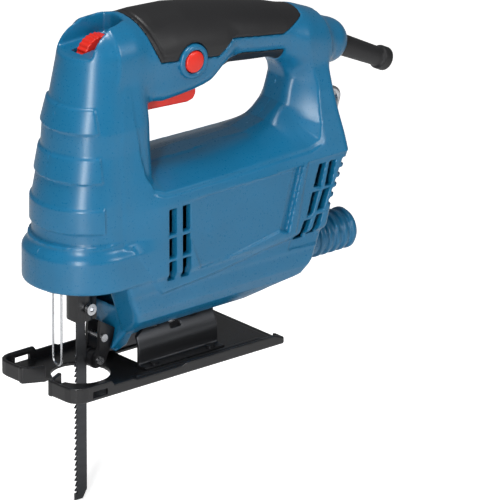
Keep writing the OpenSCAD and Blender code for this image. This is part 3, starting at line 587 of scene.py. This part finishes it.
# ---------------------------------------------------------------- small pieces

TRIGGER_SIDE = [(38.6, 156), (38.6, 146), (40, 144.6), (69, 142.6), (73, 143.6), (74.8, 146.5), (74.8, 156)]


def trigger(x, y, z):
    """The trigger, a bar with soft edges."""
    return slab(outline(TRIGGER_SIDE, x, z), 8.1, np.abs(y), 1.8)


def lock_button(x, y, z):
    """The lock-on button, with a slightly domed face."""
    dome = 0.02 * rod_y(x, z, BUTTON, 0) ** 2
    return meet(rod_y(x, z, BUTTON, 6.1), np.maximum(-24.6 - y + dome, y + 14), 1.0)


DIAL = (12, 181)
DIAL_RIDGES = 26


def dial(x, y, z):
    """The speed dial, with grip ridges round its edge."""
    angle = np.arctan2(z - DIAL[1], x - DIAL[0])
    edge = rod_y(x, z, DIAL, 11.75) - 0.28 * np.cos(angle * DIAL_RIDGES)
    return np.maximum(meet(edge, np.abs(y) - 3.9, 0.7), -rod_y(x, z, DIAL, 2.1))


def boot(x, y, z):
    """The strain relief of the cable, with a ring at its end."""
    along, away = along_boot(x, y, z)
    size = table(along, [(-2, 6.3), (6, 6.0), (33.5, 5.35), (35, 5.5), (36.4, 6.6)])
    body = meet(away - size, np.abs(along - 20) - 22, 1.0)
    return np.maximum(body, 3.6 - away)


def port(x, y, z):
    """The dust port, a tube with five rings."""
    away = np.hypot(y, z - PORT_Z)
    ring = 0
    for k in range(5):
        ring = ring + ramp(1.9 - np.abs(x - (161.5 + 5.5 * k)), 0, 1.1)
    body = meet(away - 10.1 - 1.35 * ring, np.abs(x - 162.2) - 24.2, 0.6)
    return np.maximum(body, 8.5 - away)


# outlines of the sole seen from above, as (x, distance from the centre line)
SOLE_PLAN = [
    (-31.5, 25), (-30.9, 28.6), (-28.8, 31.4), (-26, 33.2), (-22.5, 34), (114.2, 34), (114.8, 33.2),
    (114.8, -9), (-31.5, -9),
]
MOUTH_PLAN = [(-40, 12), (-31.5, 11), (-20, 5.5), (-8, 5.5), (-8, -9), (-40, -9)]
LIP_PLAN = [(-40, 12), (-31.5, 11), (-20, 5.5), (-20, -9), (-40, -9)]
RIM_TOP = [
    (-32, 8.8), (-6, 8.8), (-4, 6.2), (10, 6.2), (12, 5.2), (43, 5.2), (46, 6.2), (108, 6.2), (114, 4),
]


def plate(x, y, z):
    """The pressed sole: a tray with upturned edges, the blade opening and a window under the arch."""
    a = np.abs(y)
    front = outline(SOLE_PLAN, x, a)
    mouth = np.minimum(np.hypot(x, a) - 16, outline(MOUTH_PLAN, x, a))
    high = table(x, RIM_TOP)
    tray = np.maximum(meet(front, -z, 1.2), -np.maximum(front + 2.0, 2.0 - z))
    tray = meet(tray, z - high, 0.6)
    lip = np.maximum(np.abs(outline(LIP_PLAN, x, a) - 1.1) - 1.1, x + 19.5)
    lip = np.maximum(np.maximum(lip, front), np.maximum(z - 8.8, -z))
    tray = join(tray, lip, 1)
    tray = np.maximum(tray, -mouth)
    rib = np.maximum(np.abs(a - 24) - 1.5, np.maximum(18 - x, x - 105))
    tray = join(tray, meet(rib, np.abs(z - 1.6) - 1.3, 0.6), 1.2)
    window = brick(x, a, z, (33.5, -9, -5), (78.5, 12, 6))
    tray = cut(tray, window, 0.8)
    rear_open = brick(x, a, z, (112, -9, 2), (120, 26, 9))
    tray = cut(tray, rear_open, 0.5)
    fence = brick(x, a, z, (-19, 27, 2.0), (-9, 40, 5.4))
    return cut(tray, fence, 0.4)


def arch(x, y, z):
    """The half round that the housing tilts on, with its slot and notches."""
    a = np.abs(y)
    below = z < BEVEL_Z
    ring = np.where(below, np.abs(a - 14) - 1, np.abs(np.hypot(a, z - BEVEL_Z) - 14) - 1)
    ends = np.maximum(28.5 - x, x - 83.5)
    corner = (29.6 - x) * 0.4 + (z - 19.5) * 0.8
    body = meet(np.maximum(ring, corner), ends, 0.5)
    foot = meet(np.maximum(np.abs(a - 17.5) - 3.6, np.abs(z - 2.75) - 0.75), ends, 0.5)
    body = np.maximum(join(body, foot, 1.6), 2 - z)
    tilt = np.arctan2(a, z - BEVEL_Z)
    slot = np.maximum(np.abs(x - 56) - 3.4, (tilt - math.radians(61)) * 14)
    body = cut(body, np.maximum(slot, 9 - z), 0.5)
    for middle in (42.3, 69.8):
        notch = np.maximum(np.abs(x - middle) - 3, np.abs((tilt - math.radians(42)) * 14) - 1.6)
        body = cut(body, np.maximum(notch, BEVEL_Z - z), 0.4)
    return body


BLADE_BACK = [(BLADE_TIP, 0.9), (-66, 3.9), (20, 3.9), (23, 3.0)]


def blade(x, y, z):
    """The saw blade, with its teeth bent to alternate sides."""
    step = (z + 66) / 3
    tooth = step - np.floor(step)
    toothed = ramp(z, -67.2, -66.6) * (1 - ramp(z, 11, 12))
    edge = -4.4 + 1.7 * np.minimum(tooth * 1.25, 1) * toothed + 1.0 * ramp(z, 11, 14)
    edge = edge + ramp(z, 15, 22) * 0.4
    back = table(z, BLADE_BACK)
    lug = 0.9 * np.maximum(1 - np.abs(z - 42) / 4, 0)
    flat = np.maximum(np.maximum(edge - lug - x, x - back - lug), np.maximum(BLADE_TIP - z, z - 46))
    lean = np.where(np.floor(step) % 2 < 1, 1.0, -1.0) * 0.32 * ramp(-2.4 - x, 0, 2) * toothed
    return np.maximum(flat, np.abs(y - lean) - 0.6)


def key(x, y, z):
    """The bent hexagon key."""
    u, w = along_key(x, z)
    bend = 5.0
    corner = np.hypot(u + bend, w + bend) - bend
    side = np.where(u < -bend, w, np.where(w < -bend, u, corner))
    slant = np.maximum(np.abs(0.5 * side + 0.866 * y), np.abs(0.5 * side - 0.866 * y))
    six = np.maximum(np.abs(side), slant) - 1.45
    return np.maximum(six, np.maximum(-34 - u, -17 - w))


# ---------------------------------------------------------------- materials

def surface(name, colour, rough, metal=0.0, tint=0.10, grain=900, depth=0.008, streak=(1, 1, 1), coat=0.0):
    """A finish whose colour, gloss and fine relief vary over the piece."""
    look = bpy.data.materials.new(name)
    look.use_nodes = True
    nodes, links = look.node_tree.nodes, look.node_tree.links
    shader = nodes["Principled BSDF"]
    shader.inputs["Metallic"].default_value = metal
    shader.inputs["Coat Weight"].default_value = coat
    shader.inputs["Coat Roughness"].default_value = 0.25
    place = nodes.new("ShaderNodeTexCoord")
    stretch = nodes.new("ShaderNodeMapping")
    stretch.inputs["Scale"].default_value = streak
    links.new(place.outputs["Object"], stretch.inputs["Vector"])

    def noise(scale, detail):
        node = nodes.new("ShaderNodeTexNoise")
        node.inputs["Scale"].default_value = scale
        node.inputs["Detail"].default_value = detail
        links.new(stretch.outputs["Vector"], node.inputs["Vector"])
        return node.outputs["Fac"]

    cloud = noise(35, 4)
    fine = noise(grain, 2)
    shade = nodes.new("ShaderNodeValToRGB")
    shade.color_ramp.elements[0].position = 0.3
    shade.color_ramp.elements[1].position = 0.7
    shade.color_ramp.elements[0].color = (*[c * (1 - tint) for c in colour], 1)
    shade.color_ramp.elements[1].color = (*[min(1, c * (1 + tint)) for c in colour], 1)
    links.new(cloud, shade.inputs["Fac"])
    links.new(shade.outputs["Color"], shader.inputs["Base Color"])
    gloss = nodes.new("ShaderNodeMapRange")
    gloss.inputs["To Min"].default_value = rough * 0.82
    gloss.inputs["To Max"].default_value = min(1, rough * 1.18)
    links.new(fine, gloss.inputs["Value"])
    links.new(gloss.outputs["Result"], shader.inputs["Roughness"])
    bump = nodes.new("ShaderNodeBump")
    bump.inputs["Strength"].default_value = 0.35
    bump.inputs["Distance"].default_value = depth * MM
    links.new(fine, bump.inputs["Height"])
    links.new(bump.outputs["Normal"], shader.inputs["Normal"])
    return look


LOOKS = {
    "housing_plastic": surface("housing_blue", (0.005, 0.128, 0.262), 0.29, tint=0.05, depth=0.004, coat=0.1),
    "black_plastic": surface("black_plastic", (0.011, 0.011, 0.012), 0.42, depth=0.04),
    "grip_rubber": surface("grip_rubber", (0.009, 0.009, 0.010), 0.48, grain=1400, depth=0.10),
    "red_plastic": surface("red_plastic", (0.70, 0.022, 0.010), 0.32, tint=0.08, depth=0.03),
    "black_paint": surface("black_paint", (0.009, 0.009, 0.010), 0.30, grain=600, depth=0.015),
    "dark_steel": surface("dark_steel", (0.060, 0.062, 0.067), 0.34, metal=0.85, streak=(1, 1, 9)),
    "bright_steel": surface("bright_steel", (0.55, 0.56, 0.58), 0.27, metal=1.0, streak=(1, 1, 6)),
    "cast_aluminium": surface("cast_aluminium", (0.52, 0.53, 0.55), 0.48, metal=1.0, grain=500, depth=0.15),
    "bronze": surface("bronze", (0.45, 0.27, 0.09), 0.42, metal=1.0),
    "copper_wire": surface("copper_wire", (0.50, 0.17, 0.06), 0.30, metal=0.9, streak=(12, 1, 1)),
    "carbon": surface("carbon", (0.016, 0.016, 0.017), 0.62, grain=700, depth=0.08),
}
SLOT_OF = {part["node"]: part["material_slot"] for part in frame["record"]["subparts"]}
for node, thing in frame["nodes"].items():
    for at in range(len(thing.data.materials)):
        thing.data.materials[at] = LOOKS[SLOT_OF[node]]


# ---------------------------------------------------------------- pieces

# name, field, low and high corner of its room, step, body, CAD node
PIECES = [
    ("shell_left", left_shell, (-34, -37.5, 7), (187, 1, 205), STEP, "housing", "housing_left"),
    ("shell_right", right_shell, (-34, -1, 7), (187, 37.5, 205), STEP, "housing", "housing_right"),
    ("cover_skin", cover, (20, -23, 166), (156, 23, 205), STEP * 0.75, "housing", "grip_cover"),
    ("pad_skin", pad, (85, -21, 148), (137, 21, 169), STEP * 0.75, "housing", "grip_pad"),
    ("trigger_bar", trigger, (37, -10, 138), (77, 10, 159), FINE, "trigger", "trigger"),
    ("button", lock_button, (53, -26, 164), (69, -12, 180), FINE, "lock", "lock_button"),
    ("dial_wheel", dial, (-2, -5, 167), (26, 5, 195), FINE * 0.7, "dial", "speed_dial"),
    ("boot_sleeve", boot, (170, -8, 120), (220, 8, 158), FINE, "housing", "cable_boot"),
    ("port_tube", port, (137, -13, 28), (188, 13, 53), FINE, "housing", "dust_port"),
    ("sole_plate", plate, (-33, -36, -1), (117, 36, 10), FINE, "base", "base_plate"),
    ("tilt_arch", arch, (27, -23, 1), (85, 23, 28), FINE, "base", "bevel_arch"),
    ("blade_strip", blade, (-6, -1.6, -72), (5, 1.6, 47), FINE * 0.6, "plunger", "saw_blade"),
    ("allen_key", key, (146, -3, 102), (190, 3, 136), FINE * 0.8, "key", "hex_key"),
]
for name, field, low, high, step, body, node in PIECES:
    side = {"shell_left": 1, "shell_right": -1}.get(name, 0)
    slot = SLOT_OF[node]
    field_piece(name, field, low, high, step, LOOKS[slot], body, slot, node, side=side)


def press_spring():
    """The trigger's return spring, copied from the CAD node and carried by the housing."""
    mesh = frame["nodes"]["trigger_spring"].data.copy()
    spring = bpy.data.objects.new("press_spring", mesh)
    bpy.context.scene.collection.objects.link(spring)
    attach(spring, "housing")
    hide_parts("trigger_spring")
    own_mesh(spring)


press_spring()


# ---------------------------------------------------------------- floor, light and camera

def add_floor():
    """A wide pale floor just under the blade tip."""
    half = 30.0
    low = -0.0722
    mesh = bpy.data.meshes.new("floor")
    corners = [(-half, -half, low), (half, -half, low), (half, half, low), (-half, half, low)]
    mesh.from_pydata(corners, [], [(0, 1, 2, 3)])
    floor = bpy.data.objects.new("floor", mesh)
    bpy.context.scene.collection.objects.link(floor)
    look = surface("floor_white", (0.93, 0.93, 0.93), 0.6, tint=0.01, grain=60, depth=0.01)
    shader = look.node_tree.nodes["Principled BSDF"]
    shader.inputs["Emission Color"].default_value = (1, 1, 1, 1)
    seen = look.node_tree.nodes.new("ShaderNodeLightPath")
    glow = look.node_tree.nodes.new("ShaderNodeMath")
    glow.operation = "MULTIPLY"
    glow.inputs[1].default_value = 0.68
    look.node_tree.links.new(seen.outputs["Is Camera Ray"], glow.inputs[0])
    look.node_tree.links.new(glow.outputs["Value"], shader.inputs["Emission Strength"])
    mesh.materials.append(look)


def add_light(name, place, aim, power, width, height):
    """A soft rectangular lamp turned to a point."""
    data = bpy.data.lights.new(name, "AREA")
    data.shape = "RECTANGLE"
    data.energy = power
    data.size = width
    data.size_y = height
    lamp = bpy.data.objects.new(name, data)
    bpy.context.scene.collection.objects.link(lamp)
    lamp.location = place
    lamp.rotation_euler = (Vector(aim) - Vector(place)).to_track_quat("-Z", "Y").to_euler()


def add_world(strength):
    """White surroundings, brighter overhead than at the sides."""
    world = bpy.data.worlds.new("surroundings")
    world.use_nodes = True
    bpy.context.scene.world = world
    nodes, links = world.node_tree.nodes, world.node_tree.links
    back = nodes["Background"]
    back.inputs["Strength"].default_value = strength
    place = nodes.new("ShaderNodeTexCoord")
    split = nodes.new("ShaderNodeSeparateXYZ")
    shade = nodes.new("ShaderNodeValToRGB")
    shade.color_ramp.elements[0].position = 0.0
    shade.color_ramp.elements[0].color = (0.62, 0.63, 0.65, 1)
    shade.color_ramp.elements[1].position = 0.9
    shade.color_ramp.elements[1].color = (1, 1, 1, 1)
    links.new(place.outputs["Generated"], split.inputs["Vector"])
    links.new(split.outputs["Z"], shade.inputs["Fac"])
    links.new(shade.outputs["Color"], back.inputs["Color"])


add_floor()
add_world(0.24)
add_light("strip", (-0.70, -0.62, 0.35), (0.0, 0.0, 0.12), 7, 0.10, 0.9)
add_light("side", (0.55, -1.1, 0.6), (0.08, 0, 0.1), 4, 0.25, 0.5)
add_light("top", (-0.1, -0.1, 1.1), (0.08, 0, 0.1), 6.5, 0.3, 0.3)


def add_camera():
    """A very long lens far away, so that the view is almost parallel."""
    data = bpy.data.cameras.new("camera")
    data.lens = 1300
    data.sensor_width = 36
    data.clip_end = 40
    camera = bpy.data.objects.new("camera", data)
    bpy.context.scene.collection.objects.link(camera)
    distance = 9.759
    target = Vector((0.1189, 0.0, 0.0431))
    away = Vector((-0.6001, -0.7152, 0.3584))
    camera.location = target + away * distance
    camera.rotation_euler = (-away).to_track_quat("-Z", "Y").to_euler()
    bpy.context.scene.camera = camera


add_camera()
bpy.context.scene.view_settings.view_transform = "Standard"
